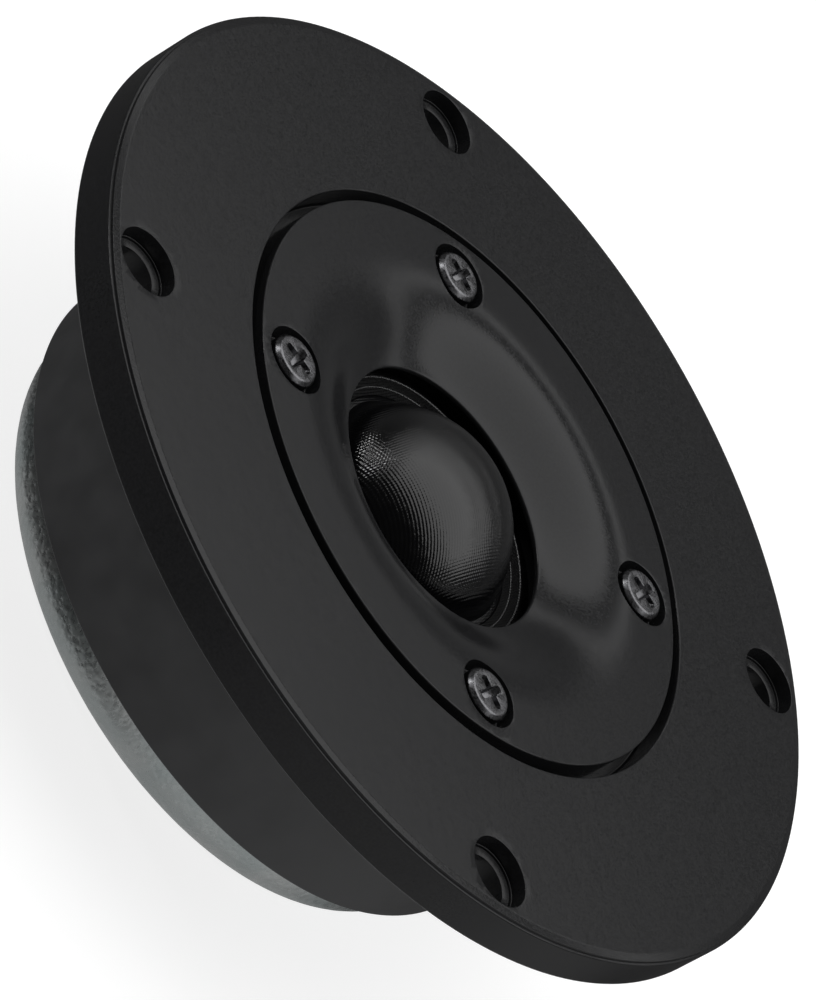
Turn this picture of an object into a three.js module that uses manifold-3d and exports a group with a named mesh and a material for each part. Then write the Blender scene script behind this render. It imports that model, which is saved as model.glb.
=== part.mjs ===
// A 25 mm soft-dome tweeter on a 104 mm round flange, as a car door or dash panel takes it.
//
// Millimetres, +Z up. The origin is the centre of the back plate's rear face, so the tweeter
// stands on its back plate with the dome looking up along +Z. The speaker's axis is the Z axis,
// the four mounting holes are on the diagonals, and the terminals are on the +Y side.

import * as THREE from "three";
import { mergeVertices } from "three/addons/utils/BufferGeometryUtils.js";
import Module from "manifold-3d";

const wasm = await Module();
wasm.setup();

// ---------------------------------------------------------------- driving dimensions

// Heights of the stack, from the rear face of the back plate to the front of the flange
const BACK_PLATE_THICKNESS = 6.5;
const MAGNET_THICKNESS = 14;
const TOP_PLATE_THICKNESS = 3.8;
const BOSS_HEIGHT = 3.2;
const FLANGE_THICKNESS = 5;

const MAGNET_Z = BACK_PLATE_THICKNESS;
const TOP_PLATE_Z = MAGNET_Z + MAGNET_THICKNESS;
const GAP_TOP_Z = TOP_PLATE_Z + TOP_PLATE_THICKNESS;
const FLANGE_Z = GAP_TOP_Z + BOSS_HEIGHT;
const FACE_Z = FLANGE_Z + FLANGE_THICKNESS;

// Flange
const FLANGE_RADIUS = 52;
const RECESS_RADIUS = 32.35;
const RECESS_CHAMFER = 0.35;
const RECESS_DEPTH = 3.3;
const SHELF_RADIUS = 22;
const BOSS_RADIUS = 34.8;
const RIM_ROUND = 0.8;
const MOUNT_HOLE_CIRCLE = 94;
const MOUNT_HOLE_DIAMETER = 5.5;
const COUNTERBORE_DIAMETER = 7.4;
const COUNTERBORE_DEPTH = 2;

// The sleeve's end and the terminal board sit in shallow seats sunk into the flange's rear face
const SEAT_DEPTH = 0.4;
const SEAT_GAP = 0.3;
const SEAT_Z = FLANGE_Z + SEAT_DEPTH;

// Waveguide insert
const INSERT_RADIUS = 31;
const INSERT_PROUD = 0.2;
const INSERT_EDGE = 0.25;
const FLARE_RADIUS = 25.8;
const THROAT_RADIUS = 14.2;
const THROAT_DEPTH = 3.64;
const FLARE_EASE = 1.4;
const FLARE_TURN = 0.86;
const LIP_THICKNESS = 0.45;
const LIP_ROOT_THICKNESS = 1.35;
const CLAMP_INNER_RADIUS = 16.7;
const CLAMP_OUTER_RADIUS = 21.7;

// Insert screws, M3 x 10 with pan heads
const SCREW_CIRCLE = 52.4;
const SCREW_LENGTH = 10;
const SCREW_SHANK_RADIUS = 1.45;
const SCREW_HOLE_RADIUS = 1.75;
const SCREW_HEAD_RADIUS = 2.85;
const SCREW_HEAD_HEIGHT = 2.45;
const SCREW_TIP_TAPER = 0.5;
const SCREW_CROWN_RADIUS = 2.1;
const SCREW_CROWN_DROP = 0.1;
const SCREW_EDGE_DROP = 0.4;
const SCREW_EDGE_WIDTH = 0.2;
const CROSS_HALF_WIDTH = 0.45;
const CROSS_HALF_LENGTH = 1.75;
const CROSS_DEPTH = 1.3;
const SCREW_POCKET_RADIUS = 3.65;
const SCREW_POCKET_DEPTH = 2.15;

// Dome, surround and voice coil
const DOME_SPHERE_RADIUS = 13;
const DOME_APEX_ABOVE_FACE = 1.3;
const DOME_THICKNESS = 0.3;
const DOME_FOOT_RADIUS = 12.8;
const CONE_GAP = 0.05;
const ROLL_FOOT_RADIUS = 16.2;
const ROLL_HEIGHT = 1.1;
const CLOTH_THICKNESS = 0.25;
const CARRIER_THICKNESS = 0.95;
const CARRIER_INNER_RADIUS = 16;
const CARRIER_RADIUS = 21.5;
const CARRIER_SLOT_WIDTH = 1.1;
const CARRIER_SLOT_HEIGHT = 0.7;
const FORMER_INNER_RADIUS = 12.3;
const FORMER_OUTER_RADIUS = 12.5;
const FORMER_LENGTH = 5.3;
const WINDING_GLUE = 0.03;
const WINDING_OUTER_RADIUS = 12.98;
const WINDING_HEIGHT = 3.4;

// Motor
const POLE_RADIUS = 12;
const BACK_PLATE_RADIUS = 33.4;
const BACK_PLATE_ROUND = 3.6;
const BACK_PLATE_DRAFT = 0.2;
const BACK_PLATE_TOP_EDGE = [0.9, 1];
const TOP_PLATE_BORE = 13.4;
const PLATE_RADIUS = 34.8;
const MAGNET_RADIUS = 34.95;
const MAGNET_BORE = 16;
const SLEEVE_INNER_RADIUS = 35;
const SLEEVE_RADIUS = 35.5;
const DAMPER_RADIUS = 10;
const DAMPER_THICKNESS = 2.4;

// Terminals, on the +Y side behind the flange
const LEAD_X = 4;
const LEAD_DIAMETER = 0.5;
const LEAD_Z = GAP_TOP_Z + 0.35;
const LEAD_GAP = 0.05;
const CHANNEL_WIDTH = 2.4;
const CHANNEL_HEIGHT = 1.6;
const BOARD_SIZE = [26, 8.5, 1.6];
const BOARD_Y = 43;
const BOARD_Z = SEAT_Z - BOARD_SIZE[2];
const TAB_X = 7.5;
const TAB_THICKNESS = 0.8;
const TAB_LENGTH = 8.4;
const TAB_FOOT_LENGTH = 5.6;
const POSITIVE_TAB_WIDTH = 4.8;
const NEGATIVE_TAB_WIDTH = 2.8;
const SOLDER_HOLE_RADIUS = 0.8;
const SOLDER_HOLE_HEIGHT = 1.9;
const RIVET_RADIUS = 0.9;
const RIVET_HEAD = [1.6, 0.6];
const RIVET_FACE_RADIUS = 1.1;
const HOLE_GAP = 0.3;
const BOARD_SCREW_RADIUS = 1.1;
const BOARD_SCREW_HEAD = [2.3, 1.4];
const BOARD_SCREW_DEPTH = 2.2;

// How far a cutter reaches past the surface it goes through
const OVERCUT = 1;

// Facets around a full turn
const TINY = 12;
const COARSE = 16;
const MEDIUM = 36;
const FINE = 48;

// ---------------------------------------------------------------- materials

function finish(color, roughness, metalness = 0) {
  return new THREE.MeshStandardMaterial({ color, roughness, metalness });
}

const FINISHES = {
  flange: finish(0x2b2c2e, 0.55),
  insert: finish(0x2b2c2e, 0.5),
  screw: finish(0x1c1d20, 0.25, 0.8),
  dome: finish(0x101114, 0.35),
  surround: finish(0x121315, 0.6),
  carrier: finish(0x202022, 0.6),
  former: finish(0xb9bbbe, 0.3, 1),
  winding: finish(0xb4683a, 0.35, 1),
  steel: finish(0x8f9295, 0.4, 1),
  ferrite: finish(0x2c2b2b, 0.7, 0.2),
  sleeve: finish(0x26272a, 0.45),
  zinc: finish(0xc3cacb, 0.3, 1),
  felt: finish(0x3a3a3c, 0.95),
  board: finish(0x5b3a22, 0.6),
  tab: finish(0xc7c6c0, 0.3, 1),
  rivet: finish(0xb08d4a, 0.35, 1),
  lead: finish(0x2a2a2c, 0.6),
};

const tweeter = new THREE.Group();

function addPiece(name, solid, material) {
  const mesh = new THREE.Mesh(toGeometry(solid), material);
  mesh.name = name;
  tweeter.add(mesh);
  return mesh;
}

// ---------------------------------------------------------------- solids

// A closed geometry becomes a solid whose shared corners are merged.
function toSolid(geometry) {
  const bare = geometry.clone();
  bare.deleteAttribute("normal");
  bare.deleteAttribute("uv");
  const merged = mergeVertices(bare, 1e-4);
  return new wasm.Manifold(new wasm.Mesh({
    numProp: 3,
    vertProperties: new Float32Array(merged.attributes.position.array),
    triVerts: new Uint32Array(merged.index.array),
  }));
}

function toGeometry(solid) {
  const mesh = solid.getMesh();
  const geometry = new THREE.BufferGeometry();
  geometry.setAttribute("position", new THREE.BufferAttribute(mesh.vertProperties, 3));
  geometry.setIndex(new THREE.BufferAttribute(mesh.triVerts, 1));
  geometry.computeVertexNormals();
  return geometry;
}

// An outline of [radius, height] points, counter-clockwise, turned about the Z axis.
// An outline that isn't on the axis at both ends closes on itself.
function turned(outline, segments = FINE) {
  const points = outline.map(([radius, height]) => new THREE.Vector2(radius, height));
  const last = outline[outline.length - 1];
  if (outline[0][0] > 0 || last[0] > 0) points.push(points[0].clone());
  const geometry = new THREE.LatheGeometry(points, segments);
  geometry.rotateX(Math.PI / 2);
  return toSolid(geometry);
}

function ring(inner, outer, low, high, segments = FINE) {
  return turned([[inner, low], [outer, low], [outer, high], [inner, high]], segments);
}

function disc(radius, low, high, segments = COARSE) {
  return turned([[0, low], [radius, low], [radius, high], [0, high]], segments);
}

// A block between two opposite corners.
function block([x0, y0, z0], [x1, y1, z1]) {
  const geometry = new THREE.BoxGeometry(x1 - x0, y1 - y0, z1 - z0);
  geometry.translate((x0 + x1) / 2, (y0 + y1) / 2, (z0 + z1) / 2);
  return toSolid(geometry);
}

// Points of an arc in the outline's plane, from one angle to the other, in degrees.
function arc(centre, radius, from, to, steps) {
  return Array.from({ length: steps + 1 }, (_, i) => {
    const angle = THREE.MathUtils.degToRad(from + ((to - from) * i) / steps);
    return [centre[0] + radius * Math.cos(angle), centre[1] + radius * Math.sin(angle)];
  });
}

// Four places on a circle, on the diagonals.
function onDiagonals(circleDiameter) {
  return [45, 135, 225, 315].map((degrees) => {
    const angle = THREE.MathUtils.degToRad(degrees);
    return [(circleDiameter / 2) * Math.cos(angle), (circleDiameter / 2) * Math.sin(angle), 0];
  });
}

function cutAll(solid, cutters) {
  return cutters.reduce((rest, cutter) => rest.subtract(cutter), solid);
}

// ---------------------------------------------------------------- flange and insert

// The two channels that take the leads out under the flange, one at each side of +Y.
function leadChannels(width, height, fromY, toY) {
  return [-LEAD_X, LEAD_X].map((x) => block(
    [x - width / 2, fromY, GAP_TOP_Z - OVERCUT],
    [x + width / 2, toY, GAP_TOP_Z + height],
  ));
}

function flange() {
  const shelf = FACE_Z - RECESS_DEPTH;
  const rimRound = arc([FLANGE_RADIUS - RIM_ROUND, FACE_Z - RIM_ROUND], RIM_ROUND, 0, 90, 3);
  const body = turned([
    [SHELF_RADIUS, GAP_TOP_Z],
    [BOSS_RADIUS, GAP_TOP_Z],
    [BOSS_RADIUS, SEAT_Z],
    [SLEEVE_RADIUS + SEAT_GAP, SEAT_Z],
    [SLEEVE_RADIUS + SEAT_GAP, FLANGE_Z],
    [FLANGE_RADIUS, FLANGE_Z],
    ...rimRound,
    [RECESS_RADIUS + RECESS_CHAMFER, FACE_Z],
    [RECESS_RADIUS, FACE_Z - RECESS_CHAMFER],
    [RECESS_RADIUS, shelf],
    [SHELF_RADIUS, shelf],
  ]);
  const mountHole = disc(MOUNT_HOLE_DIAMETER / 2, FLANGE_Z - OVERCUT, FACE_Z + OVERCUT);
  const counterbore = disc(COUNTERBORE_DIAMETER / 2, FACE_Z - COUNTERBORE_DEPTH, FACE_Z + OVERCUT);
  const stepped = mountHole.add(counterbore);
  const screwHole = disc(SCREW_HOLE_RADIUS, GAP_TOP_Z - OVERCUT, shelf + OVERCUT);
  const boardSeat = block(
    [-BOARD_SIZE[0] / 2 - SEAT_GAP, BOARD_Y - BOARD_SIZE[1] / 2 - SEAT_GAP, FLANGE_Z - OVERCUT],
    [BOARD_SIZE[0] / 2 + SEAT_GAP, BOARD_Y + BOARD_SIZE[1] / 2 + SEAT_GAP, SEAT_Z],
  );
  const boardScrewHole = disc(
    BOARD_SCREW_RADIUS + HOLE_GAP, FLANGE_Z - OVERCUT, SEAT_Z + BOARD_SCREW_DEPTH + HOLE_GAP,
  ).translate([0, BOARD_Y, 0]);
  return cutAll(body, [
    ...onDiagonals(MOUNT_HOLE_CIRCLE).map((place) => stepped.translate(place)),
    ...onDiagonals(SCREW_CIRCLE).map((place) => screwHole.translate(place)),
    ...leadChannels(CHANNEL_WIDTH, CHANNEL_HEIGHT, SHELF_RADIUS - CHANNEL_WIDTH, BOSS_RADIUS + OVERCUT),
    boardSeat,
    boardScrewHole,
  ]);
}

// Heights of the flare between its mouth and the throat, easing out of the flat rim.
function flare(steps) {
  const top = FACE_Z + INSERT_PROUD;
  const depth = THROAT_DEPTH + INSERT_PROUD;
  return Array.from({ length: steps + 1 }, (_, i) => {
    const along = i / steps;
    const fall = 1 - Math.cos(Math.PI * FLARE_TURN * Math.pow(along, FLARE_EASE));
    const full = 1 - Math.cos(Math.PI * FLARE_TURN);
    return [FLARE_RADIUS + (THROAT_RADIUS - FLARE_RADIUS) * along, top - (depth * fall) / full];
  });
}

function waveguideInsert() {
  const top = FACE_Z + INSERT_PROUD;
  const shelf = FACE_Z - RECESS_DEPTH;
  const throat = FACE_Z - THROAT_DEPTH;
  const clamp = GAP_TOP_Z + CARRIER_THICKNESS + CLOTH_THICKNESS;
  const body = turned([
    [THROAT_RADIUS, throat - LIP_THICKNESS],
    [CLAMP_INNER_RADIUS, throat - LIP_ROOT_THICKNESS],
    [CLAMP_INNER_RADIUS, clamp],
    [CLAMP_OUTER_RADIUS, clamp],
    [CLAMP_OUTER_RADIUS, shelf],
    [INSERT_RADIUS, shelf],
    [INSERT_RADIUS, top - INSERT_EDGE],
    [INSERT_RADIUS - INSERT_EDGE, top],
    ...flare(8),
  ]);
  const pocket = disc(SCREW_POCKET_RADIUS, top - SCREW_POCKET_DEPTH, top + OVERCUT);
  const hole = disc(SCREW_HOLE_RADIUS, shelf - OVERCUT, top);
  return cutAll(body, onDiagonals(SCREW_CIRCLE).map((place) => pocket.add(hole).translate(place)));
}

function insertScrew(degrees) {
  const seat = FACE_Z + INSERT_PROUD - SCREW_POCKET_DEPTH;
  const crown = seat + SCREW_HEAD_HEIGHT;
  const body = turned([
    [0, seat - SCREW_LENGTH],
    [SCREW_SHANK_RADIUS - SCREW_TIP_TAPER, seat - SCREW_LENGTH],
    [SCREW_SHANK_RADIUS, seat - SCREW_LENGTH + SCREW_TIP_TAPER],
    [SCREW_SHANK_RADIUS, seat],
    [SCREW_HEAD_RADIUS, seat],
    [SCREW_HEAD_RADIUS, crown - SCREW_EDGE_DROP],
    [SCREW_HEAD_RADIUS - SCREW_EDGE_WIDTH, crown - SCREW_CROWN_DROP],
    [SCREW_CROWN_RADIUS, crown],
    [0, crown],
  ], COARSE);
  const [width, length] = [CROSS_HALF_WIDTH, CROSS_HALF_LENGTH];
  const cross = block([-width, -length, crown - CROSS_DEPTH], [width, length, crown + OVERCUT])
    .add(block([-length, -width, crown - CROSS_DEPTH], [length, width, crown + OVERCUT]));
  const angle = THREE.MathUtils.degToRad(degrees);
  const x = (SCREW_CIRCLE / 2) * Math.cos(angle);
  const y = (SCREW_CIRCLE / 2) * Math.sin(angle);
  return body.subtract(cross).translate([x, y, 0]);
}

// ---------------------------------------------------------------- dome and voice coil

const DOME_CENTRE_Z = FACE_Z + DOME_APEX_ABOVE_FACE - DOME_SPHERE_RADIUS;
const FOOT_Z = GAP_TOP_Z + CARRIER_THICKNESS;

// A shell of one sphere, with a narrow foot that is glued to the former.
function dome() {
  const inner = DOME_SPHERE_RADIUS - DOME_THICKNESS;
  const footTop = FOOT_Z + CLOTH_THICKNESS;
  const edge = THREE.MathUtils.radToDeg(Math.asin((footTop - DOME_CENTRE_Z) / DOME_SPHERE_RADIUS));
  const innerEdge = THREE.MathUtils.radToDeg(Math.asin((FOOT_Z - DOME_CENTRE_Z) / inner));
  const outside = arc([0, DOME_CENTRE_Z], DOME_SPHERE_RADIUS, edge, 90, 7);
  const inside = arc([0, DOME_CENTRE_Z], inner, 90, innerEdge, 7);
  outside[outside.length - 1][0] = 0;
  inside[0][0] = 0;
  return turned([
    ...inside,
    [DOME_FOOT_RADIUS, FOOT_Z],
    [DOME_FOOT_RADIUS, footTop],
    ...outside,
  ], MEDIUM);
}

// The half roll that carries the dome, and the flat rim that the insert clamps.
function surround() {
  const start = DOME_FOOT_RADIUS + CONE_GAP;
  const width = ROLL_FOOT_RADIUS - start;
  const steps = 6;
  const roll = Array.from({ length: steps + 1 }, (_, i) => {
    const along = i / steps;
    return [start + width * along, FOOT_Z + ROLL_HEIGHT * Math.sin(Math.PI * along)];
  });
  const top = roll.map(([radius, height]) => [radius, height + CLOTH_THICKNESS]).reverse();
  return turned([
    ...roll,
    [CARRIER_RADIUS, FOOT_Z],
    [CARRIER_RADIUS, FOOT_Z + CLOTH_THICKNESS],
    ...top,
  ], MEDIUM);
}

function carrierRing() {
  const body = ring(CARRIER_INNER_RADIUS, CARRIER_RADIUS, GAP_TOP_Z, FOOT_Z, MEDIUM);
  return cutAll(body, leadChannels(
    CARRIER_SLOT_WIDTH, CARRIER_SLOT_HEIGHT, 0, CARRIER_RADIUS + OVERCUT,
  ));
}

function voiceCoilFormer() {
  return ring(FORMER_INNER_RADIUS, FORMER_OUTER_RADIUS, FOOT_Z - FORMER_LENGTH, FOOT_Z, MEDIUM);
}

function voiceCoilWinding() {
  const middle = TOP_PLATE_Z + TOP_PLATE_THICKNESS / 2;
  return ring(FORMER_OUTER_RADIUS + WINDING_GLUE, WINDING_OUTER_RADIUS,
    middle - WINDING_HEIGHT / 2, middle + WINDING_HEIGHT / 2, MEDIUM);
}

// ---------------------------------------------------------------- motor

// The zinc-plated back plate and its centre pole are one forging.
function poleYoke() {
  const round = arc([BACK_PLATE_RADIUS - BACK_PLATE_ROUND, BACK_PLATE_ROUND],
    BACK_PLATE_ROUND, -90, 0, 5);
  const [edgeWidth, edgeHeight] = BACK_PLATE_TOP_EDGE;
  return turned([
    [0, 0],
    ...round,
    [BACK_PLATE_RADIUS - BACK_PLATE_DRAFT, BACK_PLATE_THICKNESS - edgeHeight],
    [BACK_PLATE_RADIUS - edgeWidth, BACK_PLATE_THICKNESS],
    [POLE_RADIUS, BACK_PLATE_THICKNESS],
    [POLE_RADIUS, GAP_TOP_Z],
    [0, GAP_TOP_Z],
  ]);
}

function poleDamper() {
  return disc(DAMPER_RADIUS, GAP_TOP_Z, GAP_TOP_Z + DAMPER_THICKNESS);
}

function ferriteMagnet() {
  return ring(MAGNET_BORE, MAGNET_RADIUS, MAGNET_Z, TOP_PLATE_Z);
}

function topPlate() {
  const tapped = disc(SCREW_HOLE_RADIUS, TOP_PLATE_Z - OVERCUT, GAP_TOP_Z + OVERCUT);
  const body = ring(TOP_PLATE_BORE, PLATE_RADIUS, TOP_PLATE_Z, GAP_TOP_Z);
  return cutAll(body, onDiagonals(SCREW_CIRCLE).map((place) => tapped.translate(place)));
}

function magnetSleeve() {
  const body = ring(SLEEVE_INNER_RADIUS, SLEEVE_RADIUS, MAGNET_Z, SEAT_Z);
  return cutAll(body, leadChannels(
    CHANNEL_WIDTH, CHANNEL_HEIGHT, SLEEVE_RADIUS - CHANNEL_WIDTH, SLEEVE_RADIUS + OVERCUT,
  ));
}

// ---------------------------------------------------------------- terminals

function terminalBoard() {
  const [width, depth, thickness] = BOARD_SIZE;
  const body = block([-width / 2, BOARD_Y - depth / 2, BOARD_Z],
    [width / 2, BOARD_Y + depth / 2, BOARD_Z + thickness]);
  const hole = (radius, x) => disc(radius + HOLE_GAP, BOARD_Z - OVERCUT, SEAT_Z + OVERCUT, TINY)
    .translate([x, BOARD_Y, 0]);
  return cutAll(body, [
    hole(RIVET_RADIUS, -TAB_X),
    hole(RIVET_RADIUS, TAB_X),
    hole(BOARD_SCREW_RADIUS, 0),
  ]);
}

// An angled lug: its foot is riveted under the board and its blade points to the rear.
function terminalTab(x, width) {
  const y0 = BOARD_Y - TAB_FOOT_LENGTH / 2;
  const y1 = BOARD_Y + TAB_FOOT_LENGTH / 2;
  const footZ = BOARD_Z - TAB_THICKNESS;
  const foot = block([x - width / 2, y0, footZ], [x + width / 2, y1, BOARD_Z]);
  const blade = block(
    [x - width / 2, y1 - TAB_THICKNESS, BOARD_Z - TAB_LENGTH],
    [x + width / 2, y1, BOARD_Z],
  );
  const rivetHole = disc(RIVET_RADIUS + HOLE_GAP, footZ - OVERCUT, BOARD_Z + OVERCUT, TINY)
    .translate([x, BOARD_Y, 0]);
  const solderHole = disc(SOLDER_HOLE_RADIUS, -TAB_THICKNESS, 2 * TAB_THICKNESS, TINY)
    .rotate([-90, 0, 0])
    .translate([x, y1 - TAB_THICKNESS, BOARD_Z - TAB_LENGTH + SOLDER_HOLE_HEIGHT]);
  return foot.add(blade).subtract(rivetHole).subtract(solderHole);
}

function terminalRivet(x) {
  const footZ = BOARD_Z - TAB_THICKNESS;
  const [headRadius, headHeight] = RIVET_HEAD;
  return turned([
    [0, footZ - headHeight],
    [RIVET_FACE_RADIUS, footZ - headHeight],
    [headRadius, footZ - headHeight / 2],
    [headRadius, footZ],
    [RIVET_RADIUS, footZ],
    [RIVET_RADIUS, SEAT_Z],
    [0, SEAT_Z],
  ], TINY).translate([x, BOARD_Y, 0]);
}

function boardScrew() {
  const [headRadius, headHeight] = BOARD_SCREW_HEAD;
  return turned([
    [0, BOARD_Z - headHeight],
    [headRadius - headHeight / 2, BOARD_Z - headHeight],
    [headRadius, BOARD_Z - headHeight / 2],
    [headRadius, BOARD_Z],
    [BOARD_SCREW_RADIUS, BOARD_Z],
    [BOARD_SCREW_RADIUS, SEAT_Z + BOARD_SCREW_DEPTH],
    [0, SEAT_Z + BOARD_SCREW_DEPTH],
  ], TINY).translate([0, BOARD_Y, 0]);
}

// A lead runs out through its channel, then dips to the foot of its tab.
function lead(side) {
  const radius = LEAD_DIAMETER / 2;
  const section = new THREE.Shape();
  section.absarc(0, 0, radius, 0, 2 * Math.PI);
  const x = side * LEAD_X;
  const footZ = BOARD_Z - TAB_THICKNESS - radius - LEAD_GAP;
  const route = new THREE.CatmullRomCurve3([
    [x, 14.8, LEAD_Z],
    [x, 22, LEAD_Z],
    [x, 30, LEAD_Z],
    [x, 35.6, LEAD_Z],
    [side * (LEAD_X + 1), 38.2, footZ - 0.25],
    [side * (TAB_X - 0.9), 40.6, footZ],
    [side * (TAB_X - 0.2), 41, footZ],
  ].map((point) => new THREE.Vector3(...point)), false, "centripetal");
  return toSolid(new THREE.ExtrudeGeometry(section, {
    steps: 16, curveSegments: 3, extrudePath: route, bevelEnabled: false,
  }));
}

// ---------------------------------------------------------------- assembly

addPiece("flange", flange(), FINISHES.flange);
addPiece("waveguide_insert", waveguideInsert(), FINISHES.insert);
[45, 135, 225, 315].forEach((degrees, i) => {
  addPiece(`insert_screw_${i + 1}`, insertScrew(degrees), FINISHES.screw);
});
addPiece("dome", dome(), FINISHES.dome);
addPiece("voice_coil_former", voiceCoilFormer(), FINISHES.former);
addPiece("voice_coil_winding", voiceCoilWinding(), FINISHES.winding);
addPiece("surround", surround(), FINISHES.surround);
addPiece("carrier_ring", carrierRing(), FINISHES.carrier);
addPiece("pole_damper", poleDamper(), FINISHES.felt);
addPiece("pole_yoke", poleYoke(), FINISHES.zinc);
addPiece("ferrite_magnet", ferriteMagnet(), FINISHES.ferrite);
addPiece("top_plate", topPlate(), FINISHES.steel);
addPiece("magnet_sleeve", magnetSleeve(), FINISHES.sleeve);
addPiece("terminal_board", terminalBoard(), FINISHES.board);
addPiece("terminal_board_screw", boardScrew(), FINISHES.screw);
addPiece("terminal_positive", terminalTab(TAB_X, POSITIVE_TAB_WIDTH), FINISHES.tab);
addPiece("terminal_negative", terminalTab(-TAB_X, NEGATIVE_TAB_WIDTH), FINISHES.tab);
addPiece("terminal_rivet_positive", terminalRivet(TAB_X), FINISHES.rivet);
addPiece("terminal_rivet_negative", terminalRivet(-TAB_X), FINISHES.rivet);
addPiece("lead_positive", lead(1), FINISHES.lead);
addPiece("lead_negative", lead(-1), FINISHES.lead);

export default tweeter;
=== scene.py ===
"""Looks of a 25 mm soft-dome car tweeter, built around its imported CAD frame.

Outlines are written in millimetres as (radius, height) or (radius, height, fillet) corners in the
part's own frame: the back plate stands on z = 0 and the dome looks up along +Z. Heights and radii
come from the CAD nodes' boxes; what those boxes can't tell is a named value of its own section.
"""

import math

import bmesh
import bpy
from mathutils import Matrix, Vector, noise


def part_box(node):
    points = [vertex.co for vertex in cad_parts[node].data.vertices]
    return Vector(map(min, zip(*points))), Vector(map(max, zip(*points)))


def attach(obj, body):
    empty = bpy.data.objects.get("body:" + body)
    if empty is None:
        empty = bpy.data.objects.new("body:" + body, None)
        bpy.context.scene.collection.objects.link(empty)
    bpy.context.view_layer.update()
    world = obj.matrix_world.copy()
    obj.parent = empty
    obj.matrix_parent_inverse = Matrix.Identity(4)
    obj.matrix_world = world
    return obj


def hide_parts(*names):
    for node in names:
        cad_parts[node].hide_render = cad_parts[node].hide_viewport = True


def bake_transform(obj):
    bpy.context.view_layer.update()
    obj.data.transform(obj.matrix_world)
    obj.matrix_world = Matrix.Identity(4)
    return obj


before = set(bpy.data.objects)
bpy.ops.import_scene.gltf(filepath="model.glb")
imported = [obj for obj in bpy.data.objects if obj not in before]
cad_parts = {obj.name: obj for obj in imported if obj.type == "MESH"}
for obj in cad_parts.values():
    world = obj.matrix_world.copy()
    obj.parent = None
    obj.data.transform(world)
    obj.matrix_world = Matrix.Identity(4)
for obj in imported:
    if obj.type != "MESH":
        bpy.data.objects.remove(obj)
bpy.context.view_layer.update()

MM = 0.001

# Sides of a full turn: of large pieces, of small ones and of plain drilled holes.
TURN = 256
SMALL_TURN = 64
DRILL_TURN = 32

# How far a cutter reaches past the material.
OVERCUT = 1


# ---------------------------------------------------------------- places, from the CAD nodes


def bottom(node):
    """Lowest height of a CAD node, in millimetres."""
    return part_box(node)[0].z / MM


def top(node):
    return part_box(node)[1].z / MM


def reach(node):
    """Outer radius of a round CAD node on the Z axis, in millimetres."""
    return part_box(node)[1].x / MM


def middle(node):
    low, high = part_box(node)
    return (low + high) / 2 / MM


def box_mm(node):
    """Lowest and highest corner of a CAD node, in millimetres."""
    return [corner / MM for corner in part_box(node)]


FACE = top("flange")
FLANGE_THICKNESS = 5.0
FLANGE_BACK = FACE - FLANGE_THICKNESS
SEAT = top("magnet_sleeve")
SEAT_GAP = 0.3
BOSS_BOTTOM = bottom("flange")
INSERT_TOP = top("waveguide_insert")
DOME_TOP = top("dome")
CLOTH_BOTTOM = bottom("surround")
GAP_TOP = top("top_plate")


# ---------------------------------------------------------------- camera


VIEW_ELEVATION = math.radians(29.68)
VIEW_ROLL = math.radians(60.02)
VIEW_DISTANCE = 643.55 * MM
AIM = Vector((-1.485, -13.07, FACE)) * MM
LENS = 159.19
SENSOR = 24.0


def make_camera():
    data = bpy.data.cameras.new("camera")
    data.lens = LENS
    data.sensor_width = SENSOR
    data.clip_start = 0.01
    data.clip_end = 50
    camera = bpy.data.objects.new("camera", data)
    bpy.context.scene.collection.objects.link(camera)
    back = Vector((0, -math.cos(VIEW_ELEVATION), math.sin(VIEW_ELEVATION)))
    level = Vector((1, 0, 0))
    rise = back.cross(level)
    right = math.cos(VIEW_ROLL) * level + math.sin(VIEW_ROLL) * rise
    up = back.cross(right)
    axes = Matrix((right, up, back)).transposed()
    camera.matrix_world = Matrix.Translation(AIM + back * VIEW_DISTANCE) @ axes.to_4x4()
    bpy.context.scene.camera = camera


make_camera()


# ---------------------------------------------------------------- material nodes


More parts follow.
